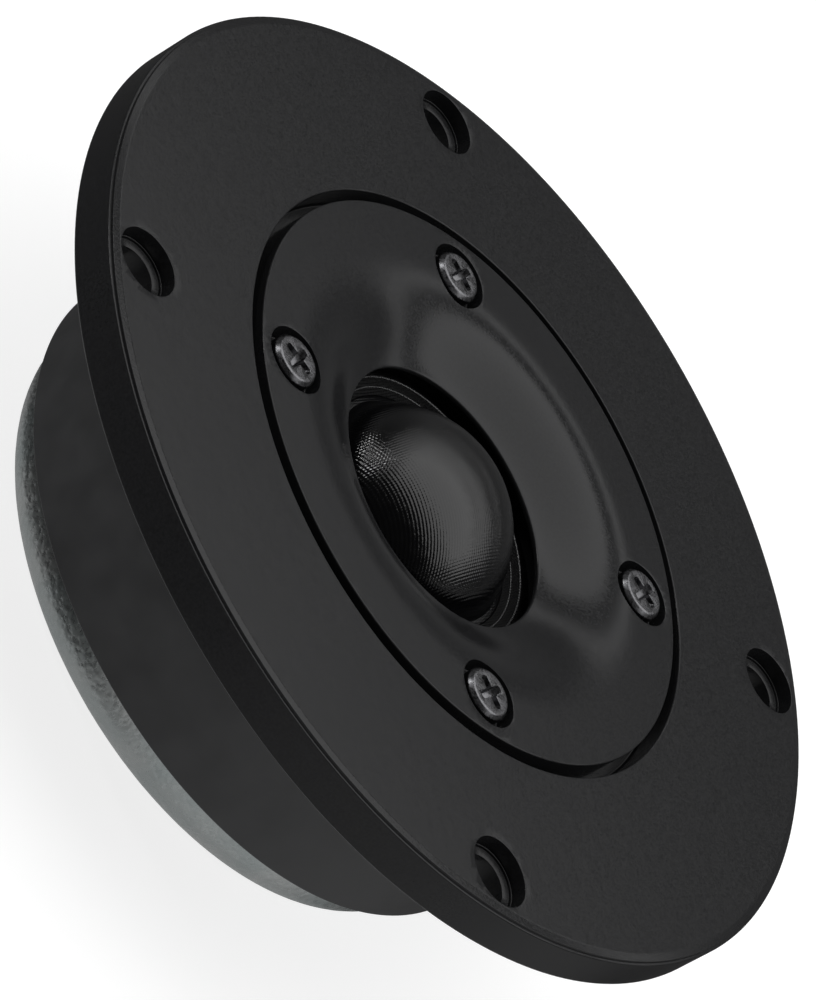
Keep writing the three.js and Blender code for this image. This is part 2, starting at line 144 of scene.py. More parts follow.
class Shader:
    """A Principled material under construction, with short calls for the nodes used here."""

    def __init__(self, name, colour, roughness, metallic=0.0, **constants):
        self.material = bpy.data.materials.new(name)
        self.material.use_nodes = True
        self.nodes = self.material.node_tree.nodes
        self.links = self.material.node_tree.links
        self.bsdf = self.nodes["Principled BSDF"]
        self.bsdf.inputs["Base Color"].default_value = (*colour, 1)
        self.bsdf.inputs["Roughness"].default_value = roughness
        self.bsdf.inputs["Metallic"].default_value = metallic
        for socket, value in constants.items():
            self.bsdf.inputs[socket.replace("_", " ")].default_value = value
        self.colour = colour
        self.place = self.add("ShaderNodeTexCoord").outputs["Object"]

    def add(self, kind, **settings):
        node = self.nodes.new(kind)
        for key, value in settings.items():
            setattr(node, key, value)
        return node

    def feed(self, socket, value):
        """Links a node's output to a socket, or sets a plain value on it."""
        if isinstance(value, bpy.types.NodeSocket):
            self.links.new(value, socket)
        else:
            socket.default_value = value

    def math(self, operation, a, b=0.0):
        node = self.add("ShaderNodeMath", operation=operation)
        self.feed(node.inputs[0], a)
        self.feed(node.inputs[1], b)
        return node.outputs[0]

    def noise(self, size_mm, detail=2.0, rough=0.5, stretch=None):
        """Noise whose features are about size_mm across, from 0 to 1."""
        node = self.add("ShaderNodeTexNoise")
        node.inputs["Scale"].default_value = 1 / (size_mm * MM)
        node.inputs["Detail"].default_value = detail
        node.inputs["Roughness"].default_value = rough
        place = self.place
        if stretch:
            mapping = self.add("ShaderNodeMapping")
            mapping.inputs["Scale"].default_value = stretch
            self.links.new(place, mapping.inputs["Vector"])
            place = mapping.outputs[0]
        self.links.new(place, node.inputs["Vector"])
        return node.outputs["Fac"]

    def cells(self, size_mm):
        """Distance from the middle of the nearest of the rounded cells about size_mm across."""
        node = self.add("ShaderNodeTexVoronoi", feature="SMOOTH_F1")
        node.inputs["Scale"].default_value = 1 / (size_mm * MM)
        self.links.new(self.place, node.inputs["Vector"])
        return node.outputs["Distance"]

    def spread(self, value, low, high, start=0.0, end=1.0):
        """value from start to end becomes low to high."""
        node = self.add("ShaderNodeMapRange")
        self.feed(node.inputs["Value"], value)
        limits = {"From Min": start, "From Max": end, "To Min": low, "To Max": high}
        for socket, number in limits.items():
            node.inputs[socket].default_value = number
        return node.outputs[0]

    def tint(self, value, dark, light, start=0.3, end=0.7):
        """Colour that goes from dark to light as value goes from start to end."""
        node = self.add("ShaderNodeMix", data_type="RGBA")
        self.feed(node.inputs["Factor"], self.spread(value, 0, 1, start, end))
        node.inputs[6].default_value = (*dark, 1)
        node.inputs[7].default_value = (*light, 1)
        self.links.new(node.outputs[2], self.bsdf.inputs["Base Color"])

    def shade(self, value, low, high, start=0.3, end=0.7):
        """The base colour, times low to high as value goes from start to end."""
        dark, light = ([channel * share for channel in self.colour] for share in (low, high))
        self.tint(value, dark, light, start, end)

    def roughness(self, value, low, high, start=0.3, end=0.7):
        self.links.new(self.spread(value, low, high, start, end), self.bsdf.inputs["Roughness"])

    def bump(self, *layers):
        """Each layer is (height value from 0 to 1, height in millimetres)."""
        normal = None
        for height, size_mm in layers:
            node = self.add("ShaderNodeBump")
            node.inputs["Strength"].default_value = 1
            node.inputs["Distance"].default_value = size_mm * MM
            self.links.new(height, node.inputs["Height"])
            if normal:
                self.links.new(normal, node.inputs["Normal"])
            normal = node.outputs[0]
        self.links.new(normal, self.bsdf.inputs["Normal"])


def painted_metal(name, colour):
    """Satin powder coat: a fine grain over a faint orange peel."""
    roughness = 0.2
    shader = Shader(name, colour, roughness, IOR=1.3)
    fine = shader.noise(0.3, detail=3.0, rough=0.6)
    peel = shader.noise(1.6, detail=1.0)
    shader.shade(fine, 0.8, 1.25)
    shader.roughness(fine, roughness - 0.05, roughness + 0.06)
    shader.bump((peel, 0.008), (fine, 0.007))
    return shader.material


def moulded_plastic(name, colour, roughness):
    """Satin moulding with faint broad patches."""
    shader = Shader(name, colour, roughness, IOR=1.45)
    fine = shader.noise(0.3, detail=2.0)
    broad = shader.noise(4.0, detail=2.0)
    shader.shade(broad, 0.85, 1.15)
    shader.roughness(broad, roughness - 0.05, roughness + 0.05)
    shader.bump((fine, 0.004))
    return shader.material


def plated_screw():
    """Glossy black plating with the light scuffs of a driven screw."""
    shader = Shader("black_plated_screw", (0.11, 0.11, 0.115), 0.3, 1.0)
    scuff = shader.noise(0.35, detail=4.0, rough=0.65)
    shader.shade(scuff, 0.75, 1.5)
    shader.roughness(scuff, 0.2, 0.38)
    shader.bump((scuff, 0.012))
    return shader.material


CLOTH_PITCH = 0.28
CLOTH_TURN = 12


def weave(shader, pitch_mm, turn_degrees):
    """Height of a woven cloth seen from the front: a small hump where two threads cross."""
    mapping = shader.add("ShaderNodeMapping")
    mapping.inputs["Rotation"].default_value = (0, 0, math.radians(turn_degrees))
    shader.links.new(shader.place, mapping.inputs["Vector"])
    split = shader.add("ShaderNodeSeparateXYZ")
    shader.links.new(mapping.outputs[0], split.inputs[0])
    turn = 2 * math.pi / (pitch_mm * MM)
    u = shader.math("SINE", shader.math("MULTIPLY", split.outputs["X"], turn))
    v = shader.math("SINE", shader.math("MULTIPLY", split.outputs["Y"], turn))
    return shader.spread(shader.math("ADD", u, v), 0, 1, -2, 2)


def coated_cloth(name, colour, roughness, depth_mm, ior):
    """Black textile with a rubbery coat: the weave shows through it, softened."""
    shader = Shader(name, colour, roughness, IOR=ior)
    threads = weave(shader, CLOTH_PITCH, CLOTH_TURN)
    uneven = shader.noise(0.9, detail=2.0)
    pores = shader.noise(0.2, detail=1.0)
    shader.shade(threads, 0.7, 1.3, 0, 1)
    shader.roughness(uneven, roughness - 0.04, roughness + 0.05)
    shader.bump((uneven, 0.006), (threads, depth_mm), (pores, depth_mm * 0.5))
    return shader.material


def hammered_zinc():
    """Bright zinc plating on a coarse pressed surface, with a faint blue-green cast."""
    shader = Shader("hammered_zinc", (0.5, 0.53, 0.535), 0.3, 1.0)
    spangle = shader.cells(0.62)
    pits = shader.noise(0.5, detail=3.0, rough=0.6)
    broad = shader.noise(7.0, detail=2.0)
    shader.tint(broad, (0.43, 0.475, 0.475), (0.56, 0.575, 0.57))
    shader.roughness(pits, 0.2, 0.4)
    shader.bump((spangle, 0.05), (pits, 0.05))
    return shader.material


def plain_metal(name, colour, roughness, turned=False):
    """Bare metal. A turned one has fine marks round its axis."""
    shader = Shader(name, colour, roughness, 1.0)
    marks = shader.noise(0.25, detail=3.0, stretch=(0.15, 0.15, 3.0) if turned else None)
    broad = shader.noise(3.0, detail=2.0)
    shader.shade(broad, 0.8, 1.12)
    shader.roughness(marks, roughness - 0.08, roughness + 0.1)
    shader.bump((marks, 0.004))
    return shader.material


WIRE_PITCH = 0.2


def copper_winding():
    """Enamelled wire wound side by side round the coil."""
    shader = Shader("enamelled_copper", (0.5, 0.17, 0.06), 0.28, 1.0,
                    Coat_Weight=0.6, Coat_Roughness=0.1)
    split = shader.add("ShaderNodeSeparateXYZ")
    shader.links.new(shader.place, split.inputs[0])
    turn = 2 * math.pi / (WIRE_PITCH * MM)
    turns = shader.math("SINE", shader.math("MULTIPLY", split.outputs["Z"], turn))
    rounds = shader.spread(turns, 0, 1, -1, 1)
    shader.shade(rounds, 0.45, 1.1, 0, 1)
    shader.bump((rounds, 0.03))
    return shader.material


def grey_felt():
    """Pressed felt, matt and fibrous."""
    shader = Shader("grey_felt", (0.05, 0.05, 0.052), 0.95, Sheen_Weight=0.3, Sheen_Roughness=0.5)
    fibres = shader.noise(0.25, detail=5.0, rough=0.7)
    shader.shade(fibres, 0.5, 1.5)
    shader.bump((fibres, 0.12))
    return shader.material


def laminate_board():
    """Brown laminated paper board, with darker fibres."""
    shader = Shader("laminate_board", (0.13, 0.052, 0.018), 0.5)
    fibres = shader.noise(0.5, detail=4.0, rough=0.6, stretch=(0.25, 1.0, 1.0))
    shader.shade(fibres, 0.65, 1.25)
    shader.roughness(fibres, 0.38, 0.6)
    shader.bump((fibres, 0.012))
    return shader.material


def sleeved_lead():
    """Woven lead: fine threads at a slant."""
    shader = Shader("sleeved_lead", (0.02, 0.02, 0.021), 0.6)
    threads = weave(shader, 0.2, 45)
    shader.shade(threads, 0.5, 1.6, 0, 1)
    shader.bump((threads, 0.02))
    return shader.material


def sintered_ferrite():
    """Dark grey ceramic with coarse grains."""
    shader = Shader("sintered_ferrite", (0.04, 0.039, 0.04), 0.6, 0.2)
    grains = shader.noise(0.4, detail=5.0, rough=0.7)
    shader.shade(grains, 0.7, 1.3)
    shader.roughness(grains, 0.5, 0.75)
    shader.bump((grains, 0.03))
    return shader.material


def pale_floor():
    """White floor that glows a little, as if lit from below, so that shadows on it stay light."""
    shader = Shader("pale_floor", (0.3, 0.3, 0.3), 0.9,
                    Emission_Color=(1, 1, 1, 1), Emission_Strength=0.8)
    shader.shade(shader.noise(60.0, detail=1.0), 0.995, 1.005)
    return shader.material


SATIN_BLACK = (0.0105, 0.0106, 0.0112)

LOOKS = {
    "flange": painted_metal("satin_black_flange", SATIN_BLACK),
    "insert": painted_metal("satin_black_insert", SATIN_BLACK),
    "sleeve": moulded_plastic("satin_black_sleeve", (0.03, 0.0303, 0.0316), 0.45),
    "carrier": moulded_plastic("black_carrier", (0.018, 0.018, 0.019), 0.55),
    "screw": plated_screw(),
    "dome": coated_cloth("coated_dome_cloth", (0.002, 0.002, 0.0023), 0.14, 0.024, 1.44),
    "surround": coated_cloth("coated_surround_cloth", (0.0015, 0.0015, 0.0017),
                             0.5, 0.09, 1.2),
    # The beads' grey, far lighter than the surround cloth, is a painted highlight along its glue
    # line and crest.
    "painted_highlight_bead": coated_cloth("surround_bead_painted_highlight", (0.03, 0.03, 0.031), 0.25, 0.03, 1.6),
    "zinc": hammered_zinc(),
    "steel": plain_metal("plain_steel", (0.42, 0.43, 0.44), 0.4, turned=True),
    "foil": plain_metal("former_foil", (0.75, 0.76, 0.78), 0.25, turned=True),
    "copper": copper_winding(),
    "ferrite": sintered_ferrite(),
    "felt": grey_felt(),
    "board": laminate_board(),
    "tab": plain_metal("tinned_brass", (0.68, 0.67, 0.62), 0.28),
    "brass": plain_metal("plain_brass", (0.55, 0.38, 0.13), 0.3),
    "solder": plain_metal("solder", (0.6, 0.6, 0.6), 0.22),
    "lead": sleeved_lead(),
    "floor": pale_floor(),
}


# ---------------------------------------------------------------- meshes


def rounded(corners, closed=True, steps=5):
    """The outline through corners (radius, height[, fillet]), with each fillet as an arc."""
    outline = []
    count = len(corners)
    for i, corner in enumerate(corners):
        here = Vector(corner[:2])
        fillet = corner[2] if len(corner) > 2 else 0
        inner = closed or 0 < i < count - 1
        if not fillet or not inner:
            outline.append(tuple(here))
            continue
        back = (Vector(corners[i - 1][:2]) - here).normalized()
        ahead = (Vector(corners[(i + 1) % count][:2]) - here).normalized()
        half = back.angle(ahead) / 2
        centre = here + (back + ahead).normalized() * fillet / math.sin(half)
        start = here + back * fillet / math.tan(half) - centre
        end = here + ahead * fillet / math.tan(half) - centre
        sweep = start.angle_signed(end)
        for step in range(steps + 1):
            turned = start.copy()
            turned.rotate(Matrix.Rotation(-sweep * step / steps, 2))
            outline.append(tuple(centre + turned))
    return outline


def curve_points(function, start, end, steps):
    return [function(start + (end - start) * i / steps) for i in range(steps + 1)]


def arc_points(radius, height, size, start, end, steps):
    """An arc of that size round a centre, from one angle to another."""
    return curve_points(lambda a: (radius + size * math.cos(a), height + size * math.sin(a)),
                        start, end, steps)


ON_AXIS = 1e-6


def revolved(mesh, outline, turn, at=(0, 0, 0)):
    """Adds an outline turned about the Z axis to a bmesh. A point on the axis becomes one vertex,
    and an outline that starts off the axis is closed into a ring."""
    rings = []
    for radius, height in outline:
        if radius < ON_AXIS:
            rings.append([mesh.verts.new(Vector((at[0], at[1], at[2] + height)) * MM)])
            continue
        rings.append([
            mesh.verts.new(Vector((
                at[0] + radius * math.cos(2 * math.pi * k / turn),
                at[1] + radius * math.sin(2 * math.pi * k / turn),
                at[2] + height,
            )) * MM)
            for k in range(turn)
        ])
    pairs = list(zip(rings, rings[1:]))
    if len(rings[0]) > 1:
        pairs.append((rings[-1], rings[0]))
    for low, high in pairs:
        for k in range(turn):
            corners = [low[k % len(low)], low[(k + 1) % len(low)],
                       high[(k + 1) % len(high)], high[k % len(high)]]
            corners = list(dict.fromkeys(corners))
            if len(corners) > 2:
                mesh.faces.new(corners)


def as_object(mesh, name):
    """Turns a bmesh into an object in the scene."""
    data = bpy.data.meshes.new(name)
    mesh.to_mesh(data)
    mesh.free()
    made = bpy.data.objects.new(name, data)
    bpy.context.scene.collection.objects.link(made)
    return made


def lathe(name, outline, turn=TURN):
    """An object turned from an outline."""
    mesh = bmesh.new()
    revolved(mesh, outline, turn)
    return as_object(mesh, name)


def baked(piece):
    """Applies a piece's modifiers."""
    depsgraph = bpy.context.evaluated_depsgraph_get()
    mesh = bpy.data.meshes.new_from_object(piece.evaluated_get(depsgraph))
    piece.modifiers.clear()
    piece.data = mesh
    return piece


def cut(piece, cutter):
    """Takes the cutter's volume out of the piece."""
    modifier = piece.modifiers.new("cut", "BOOLEAN")
    modifier.operation = "DIFFERENCE"
    modifier.solver = "EXACT"
    modifier.object = cutter
    baked(piece)
    bpy.data.objects.remove(cutter)
    return piece


def on_floor(place):
    """A place's x and y, at height 0."""
    return (place.x, place.y, 0)


def round_cutters(outline, places, turn=SMALL_TURN):
    """The same round cutter at several places."""
    mesh = bmesh.new()
    for place in places:
        revolved(mesh, outline, turn, at=place)
    return as_object(mesh, "cutter")


def drilled(piece, radius, low, high, places, turn=DRILL_TURN):
    """Takes round holes out of the piece, from low up to high."""
    outline = [(0, low), (radius, low), (radius, high), (0, high)]
    return cut(piece, round_cutters(outline, places, turn))


def block_cutters(blocks):
    """Boxes between pairs of opposite corners."""
    mesh = bmesh.new()
    for low, high in blocks:
        size = Vector(high) - Vector(low)
        centre = (Vector(high) + Vector(low)) / 2
        matrix = Matrix.Translation(centre * MM) @ Matrix.Diagonal((*(size * MM), 1))
        bmesh.ops.create_cube(mesh, size=1, matrix=matrix)
    return as_object(mesh, "cutter")


def softened(piece, sharp_degrees=40):
    """Smooth shading that keeps flat faces flat and hard edges hard."""
    data = piece.data
    data.shade_smooth()
    data.set_sharp_from_angle(angle=math.radians(sharp_degrees))
    modifier = piece.modifiers.new("flat faces stay flat", "WEIGHTED_NORMAL")
    modifier.keep_sharp = True
    return piece


def move(piece, centre):
    """Moves a piece made on the Z axis to a centre's x and y."""
    piece.data.transform(Matrix.Translation(Vector((centre.x, centre.y, 0)) * MM))


def bevelled(piece, width_mm, degrees=35):
    """Rounds the edges sharper than that many degrees."""
    modifier = piece.modifiers.new("edges", "BEVEL")
    modifier.width = width_mm * MM
    modifier.segments = 2
    modifier.limit_method = "ANGLE"
    modifier.angle_limit = math.radians(degrees)
    return baked(piece)


def place(piece, look, slot, *nodes, body="frame"):
    """Gives a finished piece its material and its body, and hides the CAD nodes it stands for. The
    slot argument is not used.
    """
    piece.data.materials.clear()
    piece.data.materials.append(LOOKS[look])
    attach(piece, body)
    if nodes:
        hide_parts(*nodes)
    return piece


def diagonal(circle):
    """Four places on a circle of that diameter, on the diagonals."""
    return [
        (circle / 2 * math.cos(math.radians(a)), circle / 2 * math.sin(math.radians(a)), 0)
        for a in (45, 135, 225, 315)
    ]


# ---------------------------------------------------------------- flange


FLANGE_RADIUS = reach("flange")
SHELF_RADIUS = 22.0
BOSS_RADIUS = 34.8
RECESS_RADIUS = 32.2
SHELF = BOSS_BOTTOM + 4.9
RIM_LEDGE = 0.3
RIM_LEDGE_DEPTH = 0.4
RIM_ROLL = 1.1
MOUNT_CIRCLE = 94.0
MOUNT_HOLE = 2.75
COUNTERBORE = 3.7
COUNTERBORE_DEPTH = 2.0
CORNER_GROOVE = 0.25
CORNER_LEDGE = 0.3
INSERT_SCREWS = [middle(f"insert_screw_{i}") for i in (1, 2, 3, 4)]
SCREW_HOLE = 1.75
BOARD = middle("terminal_board")
BOARD_SCREW_HOLE = 1.4
LEAD_SLOT_X = 4.0
LEAD_SLOT = (2.4, 1.6)


def lead_channels(width, height, start, end):
    """The two slots that let the leads out under the flange."""
    return block_cutters([
        ((x - width / 2, start, BOSS_BOTTOM - OVERCUT), (x + width / 2, end, BOSS_BOTTOM + height))
        for x in (-LEAD_SLOT_X, LEAD_SLOT_X)
    ])


def mount_hole_cutters():
    """Through holes with a counterbore: its floor is a shallow cone inside a groove and a ledge."""
    floor = FACE - COUNTERBORE_DEPTH
    outline = rounded([
        (0, FLANGE_BACK - OVERCUT),
        (MOUNT_HOLE, FLANGE_BACK - OVERCUT),
        (MOUNT_HOLE, floor - 0.1, 0.04),
        (COUNTERBORE - CORNER_GROOVE, floor + 0.14),
        (COUNTERBORE - CORNER_GROOVE + 0.03, floor - 0.02),
        (COUNTERBORE - 0.12, floor - 0.02),
        (COUNTERBORE - 0.07, floor + CORNER_LEDGE - 0.03, 0.03),
        (COUNTERBORE, floor + CORNER_LEDGE),
        (COUNTERBORE, FACE, 0.05),
        (COUNTERBORE + OVERCUT, FACE),
        (COUNTERBORE + OVERCUT, FACE + OVERCUT),
        (0, FACE + OVERCUT),
    ])
    return round_cutters(outline, diagonal(MOUNT_CIRCLE))


def make_flange():
    rim = FLANGE_RADIUS
    body = lathe("flange_shell", rounded([
        (SHELF_RADIUS, BOSS_BOTTOM, 0.2),
        (BOSS_RADIUS, BOSS_BOTTOM, 0.3),
        (BOSS_RADIUS, SEAT, 0.1),
        (SLEEVE_RADIUS + SEAT_GAP, SEAT),
        (SLEEVE_RADIUS + SEAT_GAP, FLANGE_BACK, 0.05),
        (rim, FLANGE_BACK, 0.3),
        (rim, FACE - RIM_LEDGE_DEPTH - 0.02, 0.16),
        (rim - RIM_LEDGE, FACE - RIM_LEDGE_DEPTH),
        (rim - RIM_LEDGE - 0.04, FACE - 0.15, 0.05),
        (rim - RIM_ROLL, FACE, 1.2),
        (RECESS_RADIUS, FACE, 0.16),
        (RECESS_RADIUS, SHELF, 0.2),
        (SHELF_RADIUS, SHELF, 0.15),
    ]))
    cut(body, mount_hole_cutters())
    drilled(body, SCREW_HOLE, BOSS_BOTTOM - OVERCUT, SHELF + OVERCUT, map(on_floor, INSERT_SCREWS))
    cut(body, lead_channels(*LEAD_SLOT, SHELF_RADIUS - 3, BOSS_RADIUS + 0.3))
    drilled(body, BOARD_SCREW_HOLE, FLANGE_BACK - OVERCUT, top("terminal_board_screw") + 0.3,
            [on_floor(BOARD)])
    low, high = box_mm("terminal_board")
    cut(body, block_cutters([((low.x - SEAT_GAP, low.y - SEAT_GAP, FLANGE_BACK - OVERCUT),
                              (high.x + SEAT_GAP, high.y + SEAT_GAP, SEAT))]))
    place(softened(body), "flange", "flange_black", "flange")


# ---------------------------------------------------------------- waveguide insert


INSERT_RADIUS = reach("waveguide_insert")
FLARE_RADIUS = 25.8
THROAT_RADIUS = 14.2
THROAT_DEPTH = 3.64
THROAT = FACE - THROAT_DEPTH
FLARE_EASE = 1.4
FLARE_TURN = 0.86
CLAMP_INNER = 16.7
CLAMP_OUTER = 21.7
INSERT_EDGE = 0.16
POCKET_RADIUS = 3.65
POCKET_DEPTH = 2.15


def flare_point(along):
    """A point of the flare, which eases out of the flat rim and is steepest two thirds of the
    way in."""
    fall = 0.5 - 0.5 * math.cos(math.pi * along ** FLARE_EASE * FLARE_TURN)
    full = 0.5 - 0.5 * math.cos(math.pi * FLARE_TURN)
    return (
        FLARE_RADIUS + (THROAT_RADIUS - FLARE_RADIUS) * along,
        INSERT_TOP - (INSERT_TOP - THROAT) * fall / full,
    )


def make_insert():
    body = lathe("waveguide_insert_shell", rounded([
        (THROAT_RADIUS + 0.2, THROAT - 0.55, 0.12),
        (CLAMP_INNER, THROAT - 1.35),
        (CLAMP_INNER, CLOTH_TOP, 0.1),
        (CLAMP_OUTER, CLOTH_TOP, 0.1),
        (CLAMP_OUTER, SHELF),
        (INSERT_RADIUS, SHELF, 0.2),
        (INSERT_RADIUS, INSERT_TOP, INSERT_EDGE),
    ] + curve_points(flare_point, 0, 0.96, 30) + [
        (THROAT_RADIUS, THROAT, 0.26),
    ]))
    floor = INSERT_TOP - POCKET_DEPTH
    pocket = rounded([
        (0, SHELF - OVERCUT),
        (SCREW_HOLE, SHELF - OVERCUT),
        (SCREW_HOLE, floor, 0.08),
        (POCKET_RADIUS, floor, 0.2),
        (POCKET_RADIUS, INSERT_TOP, 0.07),
        (POCKET_RADIUS + OVERCUT, INSERT_TOP),
        (POCKET_RADIUS + OVERCUT, INSERT_TOP + OVERCUT),
        (0, INSERT_TOP + OVERCUT),
    ])
    cut(body, round_cutters(pocket, map(on_floor, INSERT_SCREWS)))
    place(softened(body), "insert", "insert_black", "waveguide_insert")


# ---------------------------------------------------------------- insert screws


HEAD_RADIUS = 2.85
HEAD_HEIGHT = 2.45
SHANK_RADIUS = 1.45
SCREW_TURNS = (3, -6, 12, -10)
THREAD_PITCH = 0.5
THREAD_DEPTH = 0.2
CROSS_DEPTH = 1.35
CROSS_HALF_LENGTH = 1.8
CROSS_CORE = 0.3
CROSS_WING = 0.18


def cross_cutter(depth, top_at, turn_degrees):
    """A Phillips recess: four tapering wings that narrow and shorten towards the bottom."""
    mesh = bmesh.new()
    sizes = [(0.35, 1.12), (0, 1.0), (-0.45 * depth, 0.8), (-0.85 * depth, 0.52), (-depth, 0.2)]
    rings = []
    for height, share in sizes:
        half_width = CROSS_CORE + CROSS_WING * share
        half_length = max(CROSS_HALF_LENGTH * share, half_width + 0.05)
        ring = []
        for quarter in range(4):
            angle = math.radians(turn_degrees + 90 * quarter)
            spin = Matrix.Rotation(angle, 2)
            tip = half_length - half_width * 0.4
            for x, y in ((half_width, -half_width), (tip, -half_width),
                         (half_length, -half_width * 0.45), (half_length, half_width * 0.45),
                         (tip, half_width)):
                corner = spin @ Vector((x, y))
                ring.append(mesh.verts.new(Vector((corner.x, corner.y, top_at + height)) * MM))
        rings.append(ring)
    for high, low in zip(rings, rings[1:]):
        for k in range(len(high)):
            ahead = (k + 1) % len(high)
            mesh.faces.new([low[k], low[ahead], high[ahead], high[k]])
    mesh.faces.new(rings[0])
    mesh.faces.new(list(reversed(rings[-1])))
    return as_object(mesh, "cutter")


def thread_outline(start, end):
    """The side of a shank with ridges, from start up to end."""
    root = SHANK_RADIUS - THREAD_DEPTH
    outline = []
    for i in range(int((end - start) / THREAD_PITCH)):
        height = start + i * THREAD_PITCH
        outline += [(root, height), (SHANK_RADIUS, height + THREAD_PITCH * 0.5)]
    return outline + [(root, end)]


def make_screw(index, centre):
    node = f"insert_screw_{index}"
    crown, tip = top(node), bottom(node)
    seat = crown - HEAD_HEIGHT
    shank = thread_outline(tip + 0.6, seat - 0.8)
    head = rounded([
        (SHANK_RADIUS - THREAD_DEPTH, seat),
        (HEAD_RADIUS, seat, 0.15),
        (HEAD_RADIUS, crown - 0.55, 0.3),
        (HEAD_RADIUS * 0.86, crown - 0.02, 0.35),
        (0, crown),
    ], closed=False, steps=8)
    point = [(0, tip), (SHANK_RADIUS - 0.5, tip)]
    body = lathe(f"screw_{index}", point + shank + head, SMALL_TURN)
    cut(body, cross_cutter(CROSS_DEPTH, crown - 0.04, SCREW_TURNS[index - 1]))
    move(body, centre)
    bevelled(body, 0.05, 40)
    place(softened(body, 50), "screw", "screw_black", node)


# ---------------------------------------------------------------- diaphragm


DOME_RADIUS = 13.0
DOME_CENTRE = DOME_TOP - DOME_RADIUS
DOME_SKIN = 0.3
FOOT_RADIUS = reach("dome")
CLOTH = 0.25
CLOTH_TOP = CLOTH_BOTTOM + CLOTH
ROLL_INNER = FOOT_RADIUS + 0.05
ROLL_OUTER = 16.2
CLOTH_RIM = reach("surround")
RIDGE_RADIUS = 13.56
CREST_RADIUS = 14.47
CREST = top("surround") - 0.2
SAG_DEPTH = 0.16
DIAPHRAGM_TURN = 320

# Each bead along the surround's glue line and crest, lighter grey than the cloth to paint the
# bright lines there: its name, radius, half thickness and how far it sinks in.
BEAD_SIDES = 12
BEADS = (
    ("surround_inner_bead", RIDGE_RADIUS, 0.09, 0.0),
    ("surround_crest_bead", CREST_RADIUS, 0.13, 0.05),
)


def sphere_outline(radius, low, steps):
    """An arc of the dome's sphere, from a height up to its apex."""
    start = math.asin((low - DOME_CENTRE) / radius)
    points = arc_points(0, DOME_CENTRE, radius, start, math.pi / 2, steps)
    points[-1] = (0, points[-1][1])
    return points


def make_dome():
    outside = sphere_outline(DOME_RADIUS, CLOTH_TOP + 0.12, 72)
    inside = sphere_outline(DOME_RADIUS - DOME_SKIN, CLOTH_BOTTOM, 36)
    foot = rounded([
        inside[0],
        (FOOT_RADIUS, CLOTH_BOTTOM),
        (FOOT_RADIUS, CLOTH_TOP - 0.02, 0.08),
        (outside[0][0] + 0.12, CLOTH_TOP, 0.1),
        outside[0],
    ], closed=False)
    body = lathe("dome_skin", list(reversed(inside[1:])) + foot + outside[1:], DIAPHRAGM_TURN)
    place(softened(body, 60), "dome", "dome_cloth", "dome", body="diaphragm")


def roll_height(radius):
    """Lower side of the half roll between the dome's foot and the clamped rim."""
    share = (radius - ROLL_INNER) / (ROLL_OUTER - ROLL_INNER)
    return CLOTH_BOTTOM + (CREST - CLOTH_TOP) * max(0, math.sin(math.pi * share))


def make_surround():
    radii = [ROLL_INNER + (ROLL_OUTER - ROLL_INNER) * i / 40 for i in range(41)]
    under = [(r, roll_height(r)) for r in radii]
    over = [(r, roll_height(r) + CLOTH - sag(r)) for r in reversed(radii)]
    outline = under + [(CLOTH_RIM, CLOTH_BOTTOM), (CLOTH_RIM, CLOTH_TOP)] + over
    body = softened(lathe("surround_cloth", outline, DIAPHRAGM_TURN), 60)
    body.data.materials.append(LOOKS["surround"])
    bend(body)
    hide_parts("surround")


def sag(radius):
    """The cloth lies a little lower between the inner glue line and the crest."""
    share = (radius - ROLL_INNER) / (CREST_RADIUS - ROLL_INNER)
    return SAG_DEPTH * math.sin(math.pi * share) if share < 1 else 0


def bend(piece):
    """Bakes the placement of a piece of the surround into its mesh."""
    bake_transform(piece)


def make_bead(name, radius, size, sink):
    """A thin glossy bead on the surround, round its whole turn; its lighter grey is a painted
    highlight line, and the bead catches real reflections too.
    """
    height = roll_height(radius) + CLOTH - sag(radius) - sink
    steps = BEAD_SIDES - 1
    section = arc_points(radius, height, size, 0, 2 * math.pi * steps / BEAD_SIDES, steps)
    bead = softened(lathe(name, section, DIAPHRAGM_TURN), 60)
    bead.data.materials.append(LOOKS["painted_highlight_bead"])
    bend(bead)


# ---------------------------------------------------------------- motor


SLEEVE_RADIUS = reach("magnet_sleeve")
SLEEVE_INNER = 35.0
MOTOR_BOTTOM = bottom("magnet_sleeve")
YOKE_RADIUS = reach("pole_yoke")
YOKE_ROUND = 3.58
YOKE_TURN = 512
POLE_RADIUS = 12.0
DENT_DEPTH = 0.03
DENT_SIZE = 0.9
RING_TURN = 192
TOP_PLATE_HOLE = 13.4
MAGNET_HOLE = 16
FORMER_HOLE = 12.3
WINDING_HOLE = 12.53
CARRIER_HOLE = 16
CARRIER_NOTCH = (1.1, 0.7)
FELT_SIZE = 0.6
FELT_DEPTH = 0.25
FELT_RINGS = 24
FELT_TURN = 96


def make_sleeve():
    body = lathe("magnet_sleeve_skin", rounded([
        (SLEEVE_INNER, MOTOR_BOTTOM),
        (SLEEVE_RADIUS, MOTOR_BOTTOM, 0.15),
        (SLEEVE_RADIUS, SEAT, 0.1),
        (SLEEVE_INNER, SEAT),
    ]))
    cut(body, lead_channels(*LEAD_SLOT, SLEEVE_RADIUS - 3, SLEEVE_RADIUS + OVERCUT))
    place(softened(body), "sleeve", "sleeve_black", "magnet_sleeve")


